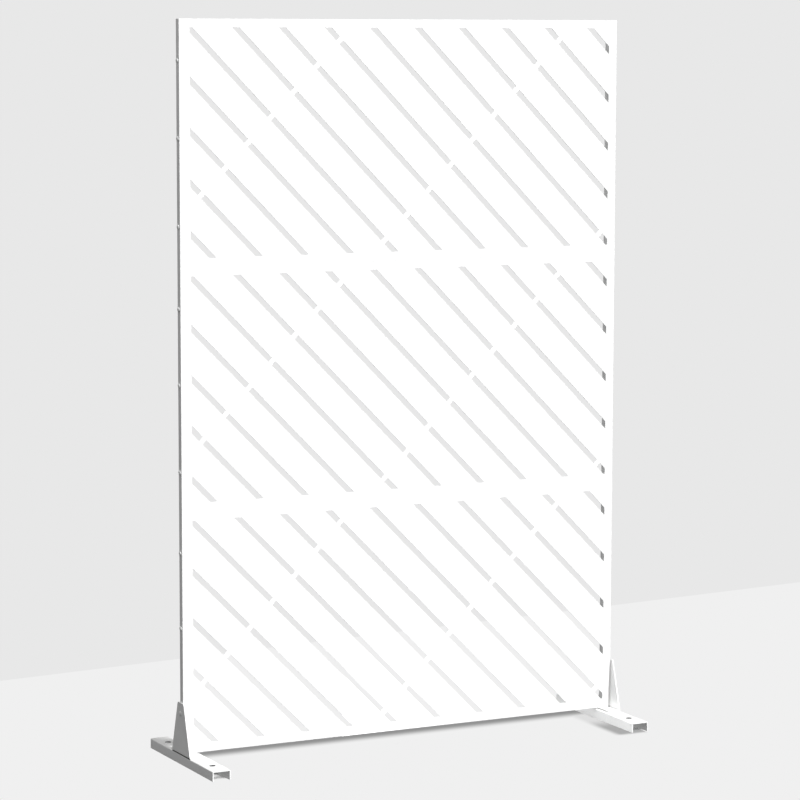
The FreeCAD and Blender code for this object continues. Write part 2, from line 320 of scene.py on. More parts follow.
class EffectShelf:
    """Builds each shared effect once, as a node group, and places it in materials."""

    GRIT_FINER, MOTTLE_FINER = 4.5, 9.0
    CLOUDS: Span = (0.32, 0.68)
    MOTTLES: Span = (0.3, 0.7)
    EDGES: Span = (0.515, 0.6)
    TORN: Span = (0.42, 0.62)
    UPWARD: Span = (0.35, 0.95)
    HIGH_UP = 0.25
    FILM: Span = (0.34, 0.7)
    FILM_SCALE, HANDLED_SCALE = 38.0, 7.0
    STREAKS: Span = (0.6, 0.72)
    HANDLED: Span = (0.5, 0.7)
    STREAK_TURN: Point = (0.3, 0.2, 0.7)
    STREAK_STRETCH: Point = (1.0, 9.0, 6.0)

    def __init__(self) -> None:
        """Starts with no group built."""
        self.groups: dict[Effect, NodeTree] = {}
        self.recipes: dict[Effect, tuple[Callable[[NodeBench, dict], dict], dict[str, float]]] = {
            Effect.PEEL: (self._peel, {"Size": 0.0014, "Grit": 0.35}),
            Effect.CLOUD: (self._cloud, {"Size": 0.09}),
            Effect.RUB: (self._rub, {"Amount": 0.3, "Breakup": 0.004}),
            Effect.DUST: (self._dust, {"Amount": 0.2, "Reach": 0.25}),
            Effect.MARKS: (self._marks, {"Amount": 0.3, "Size": 0.02}),
        }

    def place(self, bench: NodeBench, effect: Effect, **values: float) -> dict[str, Socket]:
        """Places an effect's group in a material.

        Args:
            bench: The material's bench.
            effect: Which effect to place.
            values: The group's inputs by name.

        Returns:
            The group's outputs by name.
        """
        if effect not in self.groups:
            self.groups[effect] = self._build(effect)
        node = bench.add("Group")
        node.node_tree = self.groups[effect]
        for name, value in values.items():
            node.inputs[name].default_value = value
        return {socket.name: socket for socket in node.outputs}

    def _build(self, effect: Effect) -> NodeTree:
        """Makes one effect's node group.

        Args:
            effect: Which effect to make.

        Returns:
            The group's tree.
        """
        tree = bpy.data.node_groups.new(effect.value, "ShaderNodeTree")
        maker, inputs = self.recipes[effect]
        for name, value in inputs.items():
            socket = tree.interface.new_socket(name, in_out="INPUT", socket_type="NodeSocketFloat")
            socket.default_value = value
        bench = NodeBench(tree)
        entry = tree.nodes.new("NodeGroupInput")
        made = maker(bench, {socket.name: socket for socket in entry.outputs})
        for name in made:
            tree.interface.new_socket(name, in_out="OUTPUT", socket_type="NodeSocketFloat")
        leave = tree.nodes.new("NodeGroupOutput")
        for name, socket in made.items():
            tree.links.new(socket, leave.inputs[name])
        return tree

    def _peel(self, bench: NodeBench, given: dict) -> dict:
        """The rolling skin of sprayed and baked powder, with finer grit on it.

        Args:
            bench: The group's bench.
            given: The group's inputs.

        Returns:
            The height of the skin.
        """
        place = bench.add("TexCoord").outputs["Object"]
        waves = bench.noise(place, bench.maths("DIVIDE", 1.0, given["Size"]), 1.5, 0.45)
        fine = bench.maths("DIVIDE", self.GRIT_FINER, given["Size"])
        grit = bench.noise(place, fine, 1.0)
        return {"Height": bench.maths("ADD", waves, bench.times(grit, given["Grit"]))}

    def _cloud(self, bench: NodeBench, given: dict) -> dict:
        """Slow drift in how thick and how glossy a coat lies.

        Args:
            bench: The group's bench.
            given: The group's inputs.

        Returns:
            A mask of broad clouds and one of finer mottling.
        """
        place = bench.add("TexCoord").outputs["Object"]
        broad = bench.noise(place, bench.maths("DIVIDE", 1.0, given["Size"]), 2.0)
        fine = bench.maths("DIVIDE", self.MOTTLE_FINER, given["Size"])
        finer = bench.noise(place, fine, 3.0, 0.6)
        return {"Cloud": bench.ramp(broad, *self.CLOUDS),
                "Mottle": bench.ramp(finer, *self.MOTTLES)}

    def _rub(self, bench: NodeBench, given: dict) -> dict:
        """Outer edges where the finish has drawn thin or been rubbed.

        Args:
            bench: The group's bench.
            given: The group's inputs.

        Returns:
            A mask of the rubbed edges.
        """
        place = bench.add("TexCoord").outputs["Object"]
        bend = bench.add("NewGeometry").outputs["Pointiness"]
        patch = bench.noise(place, bench.maths("DIVIDE", 1.0, given["Breakup"]), 4.0, 0.65)
        rubbed = bench.times(bench.ramp(bend, *self.EDGES), bench.ramp(patch, *self.TORN))
        return {"Mask": bench.maths("MULTIPLY", rubbed, given["Amount"], clamp=True)}

    def _dust(self, bench: NodeBench, given: dict) -> dict:
        """Fine dust on upward faces, thicker near the floor.

        Args:
            bench: The group's bench.
            given: The group's inputs.

        Returns:
            A mask of the dust.
        """
        geometry = bench.add("NewGeometry")
        facing = bench.split(geometry.outputs["Normal"])["Z"]
        height = bench.split(geometry.outputs["Position"])["Z"]
        up = bench.ramp(facing, *self.UPWARD)
        low = bench.ramp(height, 0.0, given["Reach"], 1.0, self.HIGH_UP)
        place = bench.add("TexCoord").outputs["Object"]
        film = bench.noise(place, self.FILM_SCALE, 5.0, 0.62)
        lying = bench.times(up, low, bench.ramp(film, *self.FILM))
        return {"Mask": bench.maths("MULTIPLY", lying, given["Amount"], clamp=True)}

    def _marks(self, bench: NodeBench, given: dict) -> dict:
        """Faint scuffs that handling leaves: short streaks in patches.

        Args:
            bench: The group's bench.
            given: The group's inputs.

        Returns:
            A mask of the scuffs.
        """
        place = bench.add("TexCoord").outputs["Object"]
        stretch = bench.add("Mapping")
        bench.join(place, stretch.inputs["Vector"])
        stretch.inputs["Rotation"].default_value = self.STREAK_TURN
        stretch.inputs["Scale"].default_value = self.STREAK_STRETCH
        scale = bench.maths("DIVIDE", 1.0, given["Size"])
        streak = bench.noise(stretch.outputs["Vector"], scale, 3.0, 0.7)
        where = bench.noise(place, self.HANDLED_SCALE)
        worn = bench.times(bench.ramp(streak, *self.STREAKS), bench.ramp(where, *self.HANDLED))
        return {"Mask": bench.maths("MULTIPLY", worn, given["Amount"], clamp=True)}


# ---- Finishes ----

@dataclass(frozen=True)
class Patch:
    """A place of painted shade on a finish, found from where it lies on the screen."""

    tint: Colour

    def mask(self, bench: NodeBench) -> Socket:
        """Marks the place."""
        raise NotImplementedError

    @staticmethod
    def axes(bench: NodeBench) -> dict[str, Socket]:
        """Gives the place on each axis, with the two sides folded on each other.

        Args:
            bench: The material's bench.

        Returns:
            The sockets of X and Y without their signs, and of Z.
        """
        split = bench.split(bench.add("TexCoord").outputs["Object"])
        folded = {axis: bench.maths("ABSOLUTE", split[axis]) for axis in "XY"}
        return {**folded, "Z": split["Z"]}


@dataclass(frozen=True)
class Bores(Patch):
    """The walls of four holes, one in each quarter, painted near black as the shade inside them."""

    across: float
    along: float
    radius: float
    top: float
    burr: float = 0.0002

    @classmethod
    def from_record(cls, mount: str, tint: Colour) -> "Bores":
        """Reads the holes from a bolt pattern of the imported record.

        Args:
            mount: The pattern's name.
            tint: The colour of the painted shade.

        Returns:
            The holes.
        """
        found = next(m for m in frame["record"]["mounts"] if m["name"] == mount)
        sizes = found["dims"]
        return cls(tint, sizes["spacing_x_mm"] / 2000, sizes["spacing_y_mm"] / 2000,
                   sizes["hole_r_mm"] / 1000, found["pos_m"][2])

    def mask(self, bench: NodeBench) -> Socket:
        """Marks the walls of the holes.

        Args:
            bench: The material's bench.

        Returns:
            The mask's socket.
        """
        # Painted shade on the hole walls, below the top of the foot.
        axes = self.axes(bench)
        offs = [bench.off(axes["X"], self.across), bench.off(axes["Y"], self.along)]
        reach = bench.maths("SQRT", bench.maths("ADD", *(bench.times(off, off) for off in offs)))
        inside = bench.maths("LESS_THAN", reach, self.radius + self.burr)
        below = bench.maths("LESS_THAN", axes["Z"], self.top - self.burr)
        return bench.times(inside, below)


@dataclass(frozen=True)
class FootLine(Patch):
    """A dark line of painted shade along both feet, where a bracket lies on the top of its channel.
    """

    beside: float
    top: float
    half_length: float
    reach: float
    half_open: float = 0.0013
    fade: float = 0.0008

    @classmethod
    def groove(cls, tint: Colour, deep: float = 0.0045) -> "FootLine":
        """Makes the painted shade in the groove where the plate's bend stands on the channel's."""
        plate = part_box("foot_bracket_right")[1]
        return cls(tint, plate.x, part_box("foot_channel_right")[1].z, plate.y, deep)

    @classmethod
    def leg_edge(cls, tint: Colour, corner: float = 0.003) -> "FootLine":
        """Makes the thin line of painted shade at the inner side of each bracket's leg.

        Args:
            tint: The line's colour.
            corner: How far before the leg's ends it stops.

        Returns:
            The line.
        """
        low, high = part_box("foot_bracket_right")
        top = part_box("foot_channel_right")[1].z
        return cls(tint, low.x, top, high.y - corner, cls.half_open, fade=0.00001)

    def mask(self, bench: NodeBench) -> Socket:
        """Marks the line.

        Args:
            bench: The material's bench.

        Returns:
            The mask's socket.
        """
        axes = self.axes(bench)
        rise = bench.off(axes["Z"], self.top)
        line = bench.ramp(rise, self.half_open, self.half_open + self.fade, 1.0, 0.0)
        close = bench.maths("LESS_THAN", bench.off(axes["X"], self.beside), self.reach)
        along = bench.maths("LESS_THAN", axes["Y"], self.half_length)
        return bench.times(line, close, along)


@dataclass(frozen=True)
class Layer:
    """One effect on a finish: the colour that it brings and how much it dulls."""

    effect: Effect
    inputs: dict[str, float]
    tint: Colour | None = None
    dulls: float = 0.0


@dataclass(frozen=True)
class Finish:
    """A clouded colour under layers of effects, with a drifting gloss and a raised skin."""

    name: str
    colour: Colour
    roughness: float
    cloud_tint: Colour = (0.85, 0.853, 0.85)
    cloud_size: float = 0.11
    cloud_share: float = 1.0
    swing: Span = (0.04, 0.05)
    skin_size: float = 0.0016
    skin_grit: float = 0.3
    skin_depth: float = 0.00006
    metallic: float = 0.0
    patches: tuple[Patch, ...] = ()

    def layers(self) -> tuple[Layer, ...]:
        """Lists the effects that lie on the finish, from the lowest up."""
        raise NotImplementedError

    def build(self, effects: EffectShelf) -> Material:
        """Builds the material.

        Args:
            effects: The shared effects.

        Returns:
            The material.
        """
        material, bench = blank_material(self.name)
        material.diffuse_color = (*self.colour, 1.0)
        shader, leave = bench.add("BsdfPrincipled"), bench.add("OutputMaterial")
        bench.join(shader.outputs["BSDF"], leave.inputs["Surface"])
        shader.inputs["Metallic"].default_value = self.metallic
        cloud = effects.place(bench, Effect.CLOUD, Size=self.cloud_size)
        share = bench.times(cloud["Cloud"], self.cloud_share)
        colour = bench.blend(share, self.colour, self.cloud_tint)
        under, over = self.swing
        gloss = bench.ramp(cloud["Mottle"], 0.0, 1.0, self.roughness - under, self.roughness + over)
        for layer in self.layers():
            mask = effects.place(bench, layer.effect, **layer.inputs)["Mask"]
            if layer.tint:
                colour = bench.blend(mask, colour, layer.tint)
            if layer.dulls:
                gloss = bench.maths("ADD", gloss, bench.times(mask, layer.dulls), clamp=True)
        # Patches blend painted shade into the colour at fixed places.
        for patch in self.patches:
            colour = bench.blend(patch.mask(bench), colour, patch.tint)
        bench.join(colour, shader.inputs["Base Color"])
        bench.join(gloss, shader.inputs["Roughness"])
        skin = effects.place(bench, Effect.PEEL, Size=self.skin_size, Grit=self.skin_grit)
        bump = bench.add("Bump")
        bump.inputs["Distance"].default_value = self.skin_depth
        bench.join(skin["Height"], bump.inputs["Height"])
        bench.join(bump.outputs["Normal"], shader.inputs["Normal"])
        return material


@dataclass(frozen=True)
class PowderCoat(Finish):
    """Baked powder paint on steel, with the orange peel that such paint has."""

    thin: Colour = (0.74, 0.745, 0.75)
    rub: float = 0.35
    dust: float = 0.22
    marks: float = 0.25

    def layers(self) -> tuple[Layer, ...]:
        """Lists thin edges, dust and handling marks."""
        return (Layer(Effect.RUB, {"Amount": self.rub, "Breakup": 0.006}, self.thin),
                Layer(Effect.DUST, {"Amount": self.dust, "Reach": DUST_REACH}, DUST_TINT, 0.8),
                Layer(Effect.MARKS, {"Amount": self.marks, "Size": 0.03}, dulls=0.25))


@dataclass(frozen=True)
class MouldedPlastic(Finish):
    """Injection-moulded plastic with a spark-eroded grain."""

    cloud_tint: Colour = (0.78, 0.78, 0.765)
    cloud_size: float = 0.02
    cloud_share: float = 0.6
    swing: Span = (0.05, 0.06)
    skin_size: float = 0.0006
    skin_grit: float = 0.8
    skin_depth: float = 0.00005

    def layers(self) -> tuple[Layer, ...]:
        """Lists the dust alone."""
        return (Layer(Effect.DUST, {"Amount": 0.18, "Reach": DUST_REACH}, DUST_TINT),)


@dataclass(frozen=True)
class ZincPlate(Finish):
    """Bright passivated zinc on steel hardware."""

    cloud_tint: Colour = (0.66, 0.68, 0.74)
    cloud_size: float = 0.008
    swing: Span = (0.08, 0.1)
    skin_size: float = 0.0008
    skin_grit: float = 0.6
    skin_depth: float = 0.00002
    metallic: float = 1.0
    dull: Colour = (0.44, 0.44, 0.45)

    def layers(self) -> tuple[Layer, ...]:
        """Lists tumbling marks and dull rubbed edges."""
        return (Layer(Effect.MARKS, {"Amount": 0.9, "Size": 0.003}, self.dull, 0.2),
                Layer(Effect.RUB, {"Amount": 0.8, "Breakup": 0.002}, self.dull))


class FinishRack:
    """Holds the built material of each slot, and that of the feet."""

    def __init__(self, effects: EffectShelf) -> None:
        """Builds the five finishes.

        Args:
            effects: The shared effects.
        """
        white = (0.88, 0.883, 0.88)
        # Each patch of the foot paint is painted shade: the hole walls, the groove under each
        # bracket and the line at each leg's inner side.
        patches = (Bores.from_record("anchor_holes", (0.07, 0.07, 0.075)),
                   FootLine.groove((0.035, 0.034, 0.032)),
                   FootLine.leg_edge((0.09, 0.09, 0.088)))
        self.foot_paint = PowderCoat("white_foot_powder", white, 0.42, dust=0.3, marks=0.4,
                                     patches=patches).build(effects)
        finishes = {
            Slot.POWDER: PowderCoat("baked_white_powder", white, 0.42),
            Slot.BOLT: PowderCoat("white_bolt_paint", (0.87, 0.873, 0.87), 0.36, skin_size=0.0009,
                                  skin_depth=0.00003, rub=0.7, dust=0.1, marks=0.5),
            Slot.PLASTIC: MouldedPlastic("white_cap_plastic", (0.84, 0.84, 0.825), 0.5),
            Slot.ZINC: ZincPlate("bright_zinc_plate", (0.72, 0.73, 0.73), 0.3),
        }
        self.materials = {slot: finish.build(effects) for slot, finish in finishes.items()}

    def paint(self, piece: Object, finish: Material) -> None:
        """Puts a material on every material place of a piece.

        Args:
            piece: The object to dress.
            finish: The material it takes.
        """
        if not piece.material_slots:
            piece.data.materials.append(finish)
        for place in piece.material_slots:
            place.material = finish


# ---- Meshes ----

def link_new(name: str, data: ID) -> Object:
    """Puts a new object in the scene.

    Args:
        name: The object's name.
        data: Its mesh, light or camera.

    Returns:
        The object.
    """
    placed = bpy.data.objects.new(name, data)
    bpy.context.scene.collection.objects.link(placed)
    return placed


def link_mesh(name: str, shape: BMesh) -> Object:
    """Turns a bmesh into an object in the scene.

    Args:
        name: The object's name.
        shape: The finished bmesh, which is freed.

    Returns:
        The object.
    """
    mesh = bpy.data.meshes.new(name)
    shape.to_mesh(mesh)
    shape.free()
    return link_new(name, mesh)


def soften(piece: Object, width: float, segments: int) -> None:
    """Rounds the cut edges of a piece with modifiers and evens its shading.

    Args:
        piece: The object.
        width: The width of the rounding, in metres.
        segments: How many steps the rounding has.
    """
    weld = piece.modifiers.new("Join", "WELD")
    weld.merge_threshold = SAME_PLACE
    edge = piece.modifiers.new("Edges", "BEVEL")
    edge.width, edge.segments = width, segments
    edge.limit_method, edge.angle_limit = "ANGLE", CUT_ANGLE
    edge.miter_outer = "MITER_ARC"
    even = piece.modifiers.new("Shading", "WEIGHTED_NORMAL")
    even.keep_sharp = False
    even.weight = FACE_WEIGHT


def hexagon(flats: float, turn: float) -> float:
    """Gives a hexagon's reach in one direction, from the distance across its flats."""
    off = (turn + HALF_SIDE) % (2 * HALF_SIDE) - HALF_SIDE
    return flats / 2 / math.cos(off)


def skin(shape: BMesh, first: Ring, second: Ring) -> None:
    """Closes the band between two rings of vertices.

    Args:
        shape: The bmesh to add to.
        first: The lower or outer ring.
        second: The ring that follows it.
    """
    for step, corner in enumerate(first):
        after = (step + 1) % len(first)
        shape.faces.new((corner, first[after], second[after], second[step]))


def ring_rows(shape: BMesh, rows: Iterable[tuple[float, Law]], steps: int
              ) -> list[Ring]:
    """Stacks rings of vertices along Z and skins them.

    Args:
        shape: The bmesh to add to.
        rows: A height and a radius law, by turn, for each ring.
        steps: How many vertices each ring has.

    Returns:
        The rings' vertices.
    """
    rings: list[Ring] = []
    turns = [math.tau * step / steps for step in range(steps)]
    for height, radius in rows:
        spots = [(radius(t) * math.cos(t), radius(t) * math.sin(t), height) for t in turns]
        ring = [shape.verts.new(spot) for spot in spots]
        if rings:
            skin(shape, rings[-1], ring)
        rings.append(ring)
    return rings


@dataclass(frozen=True)
class Thread:
    """A rolled metric thread on a shank that hangs below its head."""

    radius: float = 0.003
    pitch: float = 0.001
    depth: float = 0.0006
    chamfer: float = 0.0007
    runout: float = 0.0006
    root_share: float = 0.12
    flank_share: float = 0.7
    steps: int = 24
    rows_per_pitch: int = 6

    def radius_at(self, below: float, turn: float, length: float) -> float:
        """The shank's radius at one point.

        Args:
            below: How far the point is under the head.
            turn: The point's angle.
            length: The shank's length.

        Returns:
            The radius there.
        """
        phase = (below / self.pitch + turn / math.tau) % 1.0
        flank = abs(phase - 0.5) * 2
        ridge = min(max((flank - self.root_share) / self.flank_share, 0.0), 1.0)
        cut = self.radius - self.depth * (1 - ridge) * min(below / self.runout, 1.0)
        to_end = length - below
        return min(cut, self.radius - self.chamfer + to_end) if to_end < self.chamfer else cut

    def add(self, shape: BMesh, length: float) -> Ring:
        """Adds the threaded shank, closed at its lower end.

        Args:
            shape: The bmesh to add to.
            length: The shank's length.

        Returns:
            The ring of vertices under the head.
        """
        count = max(2, round(length / self.pitch * self.rows_per_pitch))
        spots = [length * (count - row) / count for row in range(count + 1)]

        rows = [(-spot, lambda turn, below=spot: self.radius_at(below, turn, length))
                for spot in spots]
        rings = ring_rows(shape, rows, self.steps)
        shape.faces.new(list(reversed(rings[0])))
        return rings[-1]


@dataclass(frozen=True)
class ButtonHead:
    """A domed head with a hexagon socket."""

    radius: float = 0.006
    height: float = 0.00322
    rim: float = 0.0016
    socket_flats: float = 0.004
    socket_depth: float = 0.002
    drill_depth: float = 0.0004
    drill_share: float = 0.45
    rounding: float = 0.0002
    rim_share: float = 0.4
    dome_steps: int = 7

    @property
    def socket_corner(self) -> float:
        """How far the socket's corners are from the axis."""
        return self.socket_flats / math.sqrt(3)

    def dome(self, out: float) -> float:
        """The dome's height over the head's underside.

        Args:
            out: How far from the axis.

        Returns:
            The height there.
        """
        rise = self.height - self.rim
        sphere = (self.radius ** 2 + rise ** 2) / (2 * rise)
        return self.height - sphere + math.sqrt(sphere ** 2 - out ** 2)

    def add(self, shape: BMesh, root: Ring) -> None:
        """Adds the head over the shank's top ring.

        Args:
            shape: The bmesh to add to.
            root: The shank's top ring.
        """
        mouth = self.socket_corner + self.rounding
        outline = [(self.radius - self.rounding, 0.0), (self.radius, self.rounding),
                   (self.radius, self.rim - self.rounding)]
        for step in range(self.dome_steps + 1):
            share = (self.dome_steps - step) / self.dome_steps
            out = mouth + (self.radius - self.rounding * self.rim_share - mouth) * share
            outline.append((out, self.dome(out)))
        rings = ring_rows(shape, [(z, lambda _, r=r: r) for r, z in outline], len(root))
        skin(shape, root, rings[0])
        self._socket(shape, rings[-1], outline[-1][1])

    def _socket(self, shape: BMesh, mouth: Ring, top: float) -> None:
        """Sinks the hexagon socket inside the mouth's ring.

        Args:
            shape: The bmesh to add to.
            mouth: The ring round the socket.
            top: The mouth's height.
        """
        floor = self.height - self.socket_depth
        rows = [(top - self.rounding, self._wall), (floor, self._wall),
                (floor - self.drill_depth, lambda turn: self._wall(turn) * self.drill_share)]
        rings = ring_rows(shape, rows, len(mouth))
        skin(shape, mouth, rings[0])
        shape.faces.new(rings[-1])

    def _wall(self, turn: float) -> float:
        """The reach of the socket's wall in one direction."""
        return hexagon(self.socket_flats, turn)


@dataclass(frozen=True)
class HexHead:
    """A forged hexagon head with turned-off corners and a dished top."""

    across_flats: float = 0.010
    height: float = 0.004
    chamfer: float = 0.0006
    nick: float = 0.0001
    dish: float = 0.0003
    face_share: float = 0.8
    dish_share: float = 0.68

    def add(self, shape: BMesh, root: Ring) -> None:
        """Adds the head over the shank's top ring.

        Args:
            shape: The bmesh to add to.
            root: The shank's top ring.
        """
        rounded = self.across_flats / math.sqrt(3) - self.chamfer
        half = self.chamfer * 0.5
        cuts = [(0.0, 0.0), (self.nick, 2 * self.nick), (half, half), (self.chamfer, self.chamfer)]
        cones = cuts + [(self.height - z, cut) for z, cut in reversed(cuts)]
        rows = [(z, lambda turn, cut=cut: min(hexagon(self.across_flats, turn), rounded + cut))
                for z, cut in cones]
        rows += [(self.height, lambda _: rounded * self.face_share),
                 (self.height - self.dish, lambda _: rounded * self.dish_share)]
        rings = ring_rows(shape, rows, len(root))
        skin(shape, root, rings[0])
        shape.faces.new(rings[-1])


@dataclass(frozen=True)
class Bolt:
    """A bolt with its shank down -Z and the underside of its head at the origin."""

    head: ButtonHead | HexHead
    length: float
    thread: Thread = Thread()

    def add(self, shape: BMesh, at: Vector, along: Vector, spin: float) -> None:
        """Adds the bolt to a bmesh.

        Args:
            shape: The bmesh to add to.
            at: Where the underside of the head goes.
            along: The direction from the shank to the head.
            spin: How far the bolt is turned on its own axis.
        """
        before = len(shape.verts)
        root = self.thread.add(shape, self.length)
        self.head.add(shape, root)
        shape.verts.ensure_lookup_table()
        turned = Vector((0, 0, 1)).rotation_difference(along).to_matrix().to_4x4()
        place = Matrix.Translation(at) @ turned @ Matrix.Rotation(spin, 4, "Z")
        bmesh.ops.transform(shape, matrix=place, verts=shape.verts[before:])


# ---- Parts of the screen ----

@dataclass
class Assembly:
    """A sub-assembly of the screen, which dresses nodes and adds pieces."""

    rack: FinishRack

    def build(self) -> None:
        """Builds the whole sub-assembly."""
        raise NotImplementedError

    def dress(self, node: str, slot: Slot, rounding: float, segments: int = 2,
              finish: Material | None = None) -> None:
        """Keeps a CAD node, rounds its edges and gives it its finish.

        Args:
            node: The node's name.
            slot: The slot it belongs to.
            rounding: The width of its rounded edges.
            segments: How many steps the rounding has.
            finish: Its material, where it isn't the slot's usual one.
        """
        piece = frame["nodes"][node]
        self.rack.paint(piece, finish or self.rack.materials[slot])
        soften(piece, rounding, segments)
        LOG.info("dressed %s as %s", node, slot.value)

    def add_bolts(self, node: str, word: str, slot: Slot, bolt: Bolt, along: Vector,
              places: list[Vector]) -> None:
        """Builds one piece of equal bolts in place of a CAD node.

        Args:
            node: The node's name.
            word: What the piece's name adds to it.
            slot: The slot it belongs to.
            bolt: The bolt.
            along: The direction from shank to head.
            places: Where the undersides of the heads go.
        """
        shape = bmesh.new()
        for number, place in enumerate(places):
            bolt.add(shape, place, along, FIRST_SPIN + NEXT_SPIN * number)
        bmesh.ops.recalc_face_normals(shape, faces=shape.faces)
        for face in shape.faces:
            face.smooth = True
        piece = link_mesh(f"{node}_{word}", shape)
        piece.data.set_sharp_from_angle(angle=SHARP_ANGLE)
        self.rack.paint(piece, self.rack.materials[slot])
        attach(piece, BODY)
        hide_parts(node)
        LOG.info("built %s in place of %s", piece.name, node)

    def add_standing_bolts(self, node: str, head: HexHead, across: tuple[float, ...] = ()) -> None:
        """Builds threaded bolts that stand on their heads, in place of a CAD node.

        Args:
            node: The node's name.
            head: Their heads.
            across: Where they stand along X, if not in the node's middle.
        """
        low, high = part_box(node)
        seat = low.z + head.height
        spots = across or ((low.x + high.x) / 2,)
        places = [Vector((x, (low.y + high.y) / 2, seat)) for x in spots]
        self.add_bolts(node, "threaded", Slot.ZINC, Bolt(head, high.z - seat), DOWN, places)


@dataclass
class TrayStack(Assembly):
    """The three slotted trays, bent from sheet and bolted together at their flanges."""

    edge_rounding: float = 0.0003

    def build(self) -> None:
        """Dresses the three trays."""
        for level in Level:
            self.dress(f"panel_{level.value}", Slot.POWDER, self.edge_rounding)


@dataclass
class SidePosts(Assembly):
    """The tube posts inside the ends of the screen, with their caps and weld nuts."""

    edge_rounding: float = 0.0002
    cap_rounding: float = 0.0004

    def build(self) -> None:
        """Dresses the posts, their caps and the nuts welded inside them."""
        for side in Side:
            self.dress(f"post_{side.word}", Slot.POWDER, self.edge_rounding)
            self.dress(f"post_cap_{side.word}", Slot.PLASTIC, self.cap_rounding)
            for level in Level:
                nuts = f"post_nuts_{side.word}_{level.value}"
                self.dress(nuts, Slot.ZINC, NUT_ROUNDING, 1)


@dataclass
class SideBolts(Assembly):
    """The button-head bolts down both ends of the screen."""

    head: ButtonHead = ButtonHead()
    from_edge: float = 0.100
    middle: float = 0.313

    def build(self) -> None:
        """Builds the bolts of both ends, and the one through each foot's upright."""
        for side in Side:
            for level in Level:
                low, high = (corner.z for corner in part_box(f"panel_{level.value}"))
                heights = [low + self.from_edge, low + self.middle, high - self.from_edge]
                if level is Level.BOTTOM:
                    foot = heights.pop(0)
                self._row(f"side_bolts_{side.word}_{level.value}", side, heights)
            self._row(f"foot_side_bolt_{side.word}", side, [foot])

    def _row(self, node: str, side: Side, heights: list[float]) -> None:
        """Builds the bolts that one node stands for.

        Args:
            node: The node's name.
            side: The end of the screen.
            heights: Where the bolts stand.
        """
        low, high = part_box(node)
        outer, inner = (high.x, low.x) if side is Side.RIGHT else (-low.x, -high.x)
        seat = outer - self.head.dome(self.head.socket_corner)
        bolt, along = Bolt(self.head, seat - inner), Vector((side.value, 0, 0))
        places = [Vector((side.value * seat, (low.y + high.y) / 2, height)) for height in heights]
        self.add_bolts(node, "turned", Slot.BOLT, bolt, along, places)


@dataclass
class SeamFastenings(Assembly):
    """The bolts and nuts that close the two seams between the trays."""

    head: HexHead = HexHead()
    across: tuple[float, ...] = (-0.4, 0.0, 0.4)

    def build(self) -> None:
        """Builds the seam bolts and dresses their nuts."""
        for seam in ("lower", "upper"):
            self.add_standing_bolts(f"seam_bolts_{seam}", self.head, self.across)
            self.dress(f"seam_nuts_{seam}", Slot.ZINC, NUT_ROUNDING)


@dataclass
class Feet(Assembly):
    """The two floor channels with their upright brackets and clamping bolts."""

    sheet_rounding: float = 0.0005
    washer_rounding: float = 0.0002
    head: HexHead = HexHead()

    def build(self) -> None:
        """Dresses both feet and builds their clamping bolts."""
        for side in Side:
            for bent in ("foot_channel", "foot_bracket"):
                self.dress(f"{bent}_{side.word}", Slot.POWDER, self.sheet_rounding, 3,
                           self.rack.foot_paint)
            self.dress(f"foot_clamp_washer_{side.word}", Slot.ZINC, self.washer_rounding)
            self.dress(f"foot_clamp_nut_{side.word}", Slot.ZINC, NUT_ROUNDING)
            self.add_standing_bolts(f"foot_clamp_bolt_{side.word}", self.head)


# ---- Studio ----

def direction(azimuth: float, elevation: float) -> Vector:
    """Points from the screen to something before it, to its right and up by these degrees."""
    turn, lift = math.radians(azimuth), math.radians(elevation)
    return Vector((math.sin(turn) * math.cos(lift), -math.cos(turn) * math.cos(lift),
                   math.sin(lift)))


def hang_light(name: str, kind: str, power: float, towards: Vector) -> Object:
    """Hangs a light.

    Args:
        name: The light's name.
        kind: Its type.
        power: Its energy.
        towards: The direction from what it lights to the light.

    Returns:
        The light.
    """
    data = bpy.data.lights.new(name, kind)
    data.energy = power
    light = link_new(name, data)
    light.rotation_mode = "QUATERNION"
    light.rotation_quaternion = towards.to_track_quat("Z", "Y")
    return light


@dataclass(frozen=True)
class Viewpoint:
    """Where the camera stands and what it sees."""

    place: Point = (-3.4719, -6.8582, 1.7968)
    azimuth: float = -26.79
    elevation: float = 6.84
    roll: float = 0.115
    lens: float = 137.98
    sensor: float = 36.0
    clip: Span = (0.05, 200.0)

    def build(self) -> None:
        """Makes the scene's camera."""
        turn, roll = math.radians(self.azimuth), math.radians(self.roll)
        back = direction(self.azimuth, self.elevation)
        right = Vector((math.cos(turn), math.sin(turn), 0))
        up = back.cross(right)
        across = right * math.cos(roll) + up * math.sin(roll)
        above = up * math.cos(roll) - right * math.sin(roll)
        data = bpy.data.cameras.new("studio_camera")
        data.lens, data.sensor_width = self.lens, self.sensor
        data.clip_start, data.clip_end = self.clip
        camera = link_new("studio_camera", data)
        turned = Matrix((across, above, back)).transposed().to_4x4()
        camera.matrix_world = Matrix.Translation(self.place) @ turned
        bpy.context.scene.camera = camera


@dataclass(frozen=True)
class Card:
    """A flat card of soft light."""

    name: str
    power: float
    size: tuple[float, float]
    place: Point
    aim: Point
    spread: float = 180.0

    def build(self) -> None:
        """Hangs the card, unseen by the camera and by mirrorings."""
        towards = Vector(self.place) - Vector(self.aim)
        card = hang_light(self.name, "AREA", self.power, towards)
        card.data.shape = "RECTANGLE"
        card.data.size, card.data.size_y = self.size
        card.data.spread = math.radians(self.spread)
        card.location = self.place
        card.visible_camera = card.visible_glossy = False


